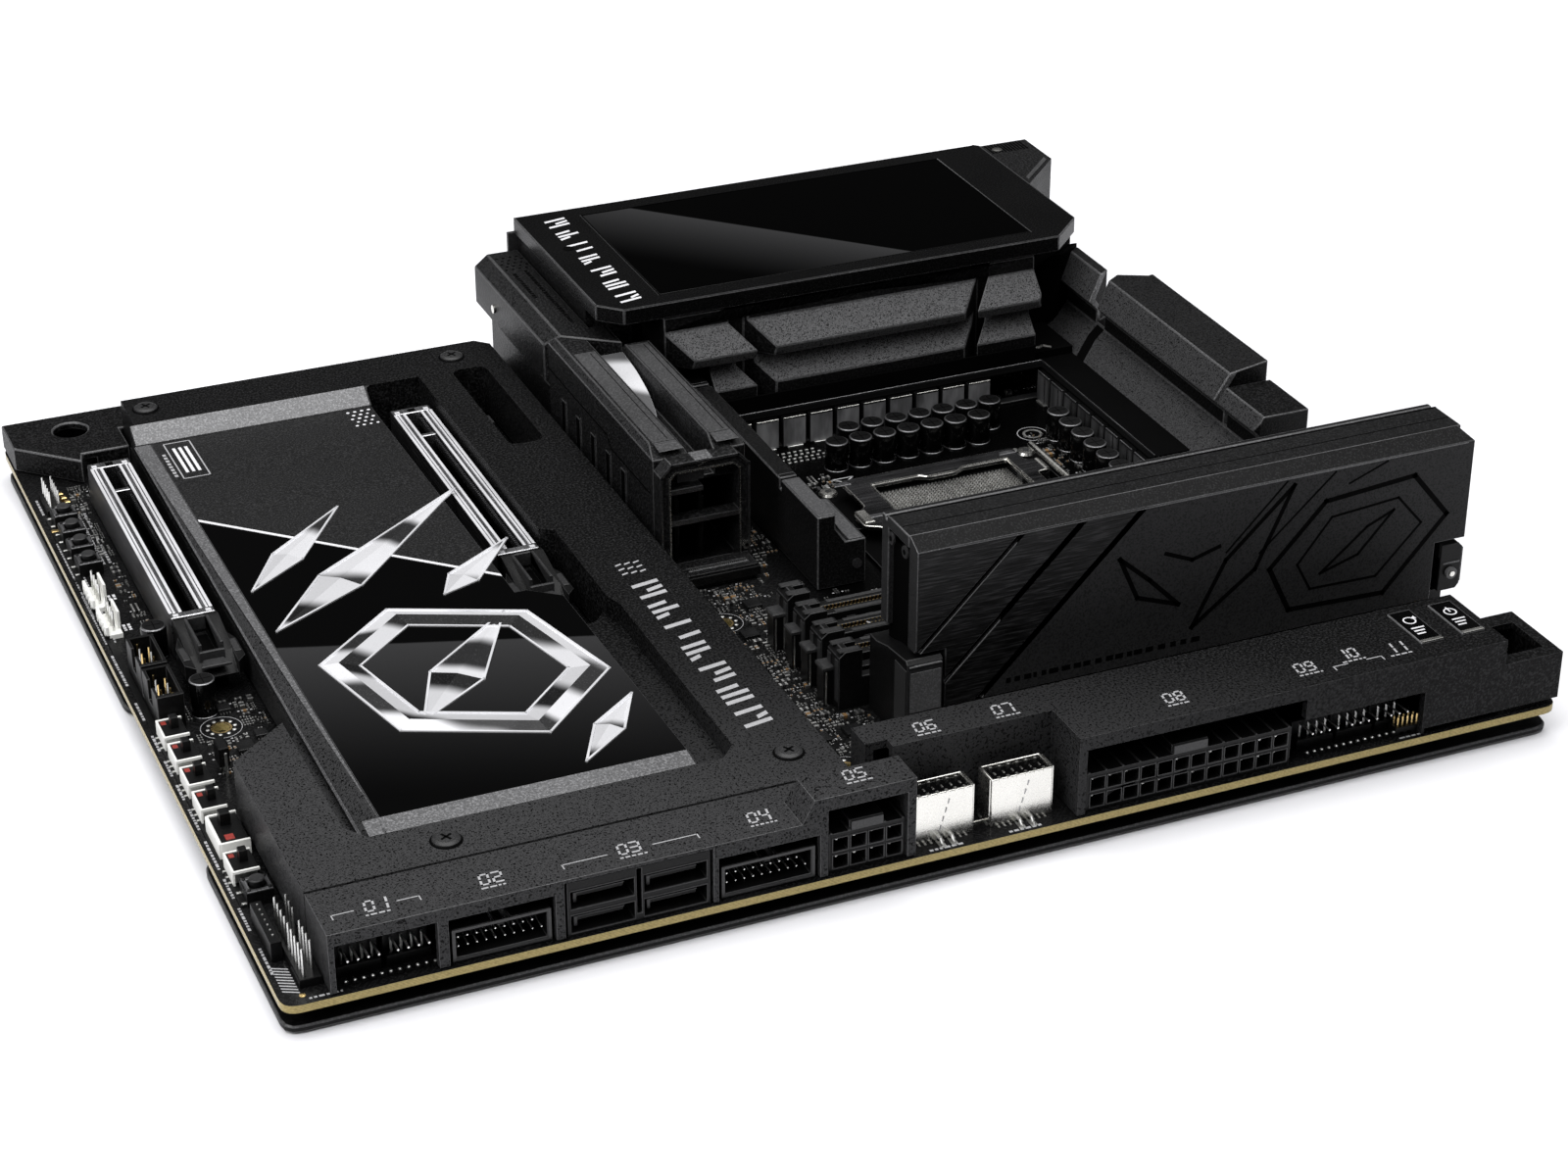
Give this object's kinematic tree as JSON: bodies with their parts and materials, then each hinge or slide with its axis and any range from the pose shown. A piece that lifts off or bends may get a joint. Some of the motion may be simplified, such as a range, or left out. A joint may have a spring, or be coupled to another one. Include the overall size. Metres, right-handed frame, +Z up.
{
  "type": "computer motherboard",
  "caption": "Large desktop motherboard with heatsink armour, display cover, plug-in storage riser, memory and card slots, lever socket and edge-facing connectors.",
  "frame": {"origin": "centre of the backplate's flat underside, below the centre of the circuit board", "axes": "+X along the front edge that carries the power connectors, towards the memory side; +Y towards the rear connector edge; +Z up from the board"},
  "size_m": [0.305, 0.2796, 0.0595],
  "materials": {
    "armor_panel": "matte upper half and gloss lower half",
    "aux_power_socket": "black",
    "backplate": "black coated steel",
    "box_header_pair": "black",
    "capacitor_bank": "black lacquered aluminium cans",
    "card_latch_1": "dark grey",
    "card_latch_2": "dark grey",
    "chipset_armor": "dark grey sand-textured coating",
    "choke_bank": "grey pressed ferrite",
    "circuit_board": "black solder mask over glass fibre laminate",
    "corner_cover": "dark grey sand-textured coating",
    "display_bezel": "dark grey sand-textured coating with dotted and lined print",
    "display_screen": "black display glass, off",
    "drive_socket_stack": "black",
    "expansion_slot_1": "steel shielded slot",
    "expansion_slot_2": "steel shielded slot",
    "front_shroud_high": "dark grey sand-textured coating",
    "front_shroud_low": "dark grey sand-textured coating",
    "load_frame": "stamped steel",
    "main_power_socket": "black",
    "memory_latch_1": "black",
    "memory_latch_2": "black",
    "memory_latch_3": "black",
    "memory_latch_4": "black",
    "memory_socket_1": "black",
    "memory_socket_2": "black",
    "memory_socket_3": "black",
    "memory_socket_4": "black",
    "processor_power_pair": "black",
    "processor_socket": "black housing with a bright contact field",
    "push_button_1": "dark grey cap",
    "push_button_2": "dark grey cap",
    "push_button_3": "dark grey cap",
    "push_button_4": "dark grey cap",
    "push_button_5": "dark grey cap",
    "rear_button_1": "black",
    "rear_button_2": "black",
    "rear_cover": "dark grey sand-textured coating",
    "rear_heatsink": "dark grey anodised aluminium, lighter faces",
    "rear_port_block": "black housings with metal port shells",
    "rear_shield": "plain steel sheet",
    "reset_button": "dark grey",
    "ribbon_socket_1": "black",
    "ribbon_socket_2": "black",
    "riser_back_plate": "dark anodised plate",
    "riser_card": "black solder mask",
    "riser_front_plate": "dark anodised plate with brushed and sanded zones",
    "riser_guide": "dark grey",
    "riser_latch": "black",
    "riser_socket": "black",
    "shielded_socket_pair": "bright steel shells round black cores",
    "side_heatsink": "dark grey anodised aluminium, lighter faces",
    "socket_lever": "bent steel wire",
    "socket_rail": "dark grey coated aluminium",
    "start_button": "dark grey",
    "switch_bank": "black",
    "tower_body": "dark grey sand-textured coating",
    "tower_bracket": "black",
    "tower_rear_cover": "dark grey coated",
    "tower_trim": "polished dark chrome"
  },
  "bodies": {
    "board": {"armor_panel": "armor_panel", "aux_power_socket": "aux_power_socket", "backplate": "backplate", "box_header_pair": "box_header_pair", "capacitor_bank": "capacitor_bank", "chipset_armor": "chipset_armor", "choke_bank": "choke_bank", "circuit_board": "circuit_board", "corner_cover": "corner_cover", "display_bezel": "display_bezel", "display_screen": "display_screen", "drive_socket_stack": "drive_socket_stack", "expansion_slot_1": "expansion_slot_1", "expansion_slot_2": "expansion_slot_2", "front_shroud_high": "front_shroud_high", "front_shroud_low": "front_shroud_low", "main_power_socket": "main_power_socket", "memory_socket_1": "memory_socket_1", "memory_socket_2": "memory_socket_2", "memory_socket_3": "memory_socket_3", "memory_socket_4": "memory_socket_4", "processor_power_pair": "processor_power_pair", "processor_socket": "processor_socket", "rear_cover": "rear_cover", "rear_heatsink": "rear_heatsink", "rear_port_block": "rear_port_block", "rear_shield": "rear_shield", "ribbon_socket_1": "ribbon_socket_1", "ribbon_socket_2": "ribbon_socket_2", "riser_guide": "riser_guide", "riser_socket": "riser_socket", "shielded_socket_pair": "shielded_socket_pair", "side_heatsink": "side_heatsink", "socket_rail": "socket_rail", "switch_bank": "switch_bank", "tower_body": "tower_body", "tower_bracket": "tower_bracket", "tower_rear_cover": "tower_rear_cover", "tower_trim": "tower_trim"},
    "load_frame": {"load_frame": "load_frame"},
    "socket_lever": {"socket_lever": "socket_lever"},
    "riser_latch": {"riser_latch": "riser_latch"},
    "riser_module": {"riser_card": "riser_card", "riser_front_plate": "riser_front_plate", "riser_back_plate": "riser_back_plate"},
    "card_latch_1": {"card_latch_1": "card_latch_1"},
    "card_latch_2": {"card_latch_2": "card_latch_2"},
    "start_button": {"start_button": "start_button"},
    "reset_button": {"reset_button": "reset_button"},
    "rear_button_1": {"rear_button_1": "rear_button_1"},
    "rear_button_2": {"rear_button_2": "rear_button_2"},
    "memory_latch_1": {"memory_latch_1": "memory_latch_1"},
    "memory_latch_2": {"memory_latch_2": "memory_latch_2"},
    "memory_latch_3": {"memory_latch_3": "memory_latch_3"},
    "memory_latch_4": {"memory_latch_4": "memory_latch_4"},
    "push_button_1": {"push_button_1": "push_button_1"},
    "push_button_2": {"push_button_2": "push_button_2"},
    "push_button_3": {"push_button_3": "push_button_3"},
    "push_button_4": {"push_button_4": "push_button_4"},
    "push_button_5": {"push_button_5": "push_button_5"}
  },
  "joints": [
    {"name": "load_frame_hinge", "type": "hinge", "parent": "board", "child": "load_frame", "pos_m": [0.0945, 0.001, 0.0125], "axis": [0, 1, 0], "range_deg": [0, 110]},
    {"name": "socket_lever_hinge", "type": "hinge", "parent": "board", "child": "socket_lever", "pos_m": [0.0975, 0.001, 0.0125], "axis": [0, 1, 0], "range_deg": [0, 130]},
    {"name": "riser_slide", "type": "slide", "parent": "board", "child": "riser_module", "axis": [0, 0, 1], "range_m": [0, 0.04]},
    {"name": "riser_latch_hinge", "type": "hinge", "parent": "board", "child": "riser_latch", "pos_m": [0.148, -0.087, 0.0109], "axis": [0, 1, 0], "range_deg": [0, 30]},
    {"name": "memory_latch_1_hinge", "type": "hinge", "parent": "board", "child": "memory_latch_1", "pos_m": [0.148, -0.0422, 0.0109], "axis": [0, 1, 0], "range_deg": [0, 35]},
    {"name": "memory_latch_2_hinge", "type": "hinge", "parent": "board", "child": "memory_latch_2", "pos_m": [0.148, -0.0522, 0.0109], "axis": [0, 1, 0], "range_deg": [0, 35]},
    {"name": "memory_latch_3_hinge", "type": "hinge", "parent": "board", "child": "memory_latch_3", "pos_m": [0.148, -0.0622, 0.0109], "axis": [0, 1, 0], "range_deg": [0, 35]},
    {"name": "memory_latch_4_hinge", "type": "hinge", "parent": "board", "child": "memory_latch_4", "pos_m": [0.148, -0.0722, 0.0109], "axis": [0, 1, 0], "range_deg": [0, 35]},
    {"name": "card_latch_1_hinge", "type": "hinge", "parent": "board", "child": "card_latch_1", "pos_m": [-0.0513, 0.004, 0.0113], "axis": [1, 0, 0], "range_deg": [0, 12]},
    {"name": "card_latch_2_hinge", "type": "hinge", "parent": "board", "child": "card_latch_2", "pos_m": [-0.13258, 0.004, 0.0113], "axis": [1, 0, 0], "range_deg": [0, 12]},
    {"name": "start_button_press", "type": "slide", "parent": "board", "child": "start_button", "axis": [0, 0, -1], "range_m": [0, 0.0008]},
    {"name": "reset_button_press", "type": "slide", "parent": "board", "child": "reset_button", "axis": [0, 0, -1], "range_m": [0, 0.0008]},
    {"name": "rear_button_1_press", "type": "slide", "parent": "board", "child": "rear_button_1", "axis": [0, -1, 0], "range_m": [0, 0.0008]},
    {"name": "rear_button_2_press", "type": "slide", "parent": "board", "child": "rear_button_2", "axis": [0, -1, 0], "range_m": [0, 0.0008]},
    {"name": "push_button_1_press", "type": "slide", "parent": "board", "child": "push_button_1", "axis": [0, 0, -1], "range_m": [0, 0.0003]},
    {"name": "push_button_2_press", "type": "slide", "parent": "board", "child": "push_button_2", "axis": [0, 0, -1], "range_m": [0, 0.0003]},
    {"name": "push_button_3_press", "type": "slide", "parent": "board", "child": "push_button_3", "axis": [0, 0, -1], "range_m": [0, 0.0003]},
    {"name": "push_button_4_press", "type": "slide", "parent": "board", "child": "push_button_4", "axis": [0, 0, -1], "range_m": [0, 0.0003]},
    {"name": "push_button_5_press", "type": "slide", "parent": "board", "child": "push_button_5", "axis": [0, 0, -1], "range_m": [0, 0.0003]}
  ]
}
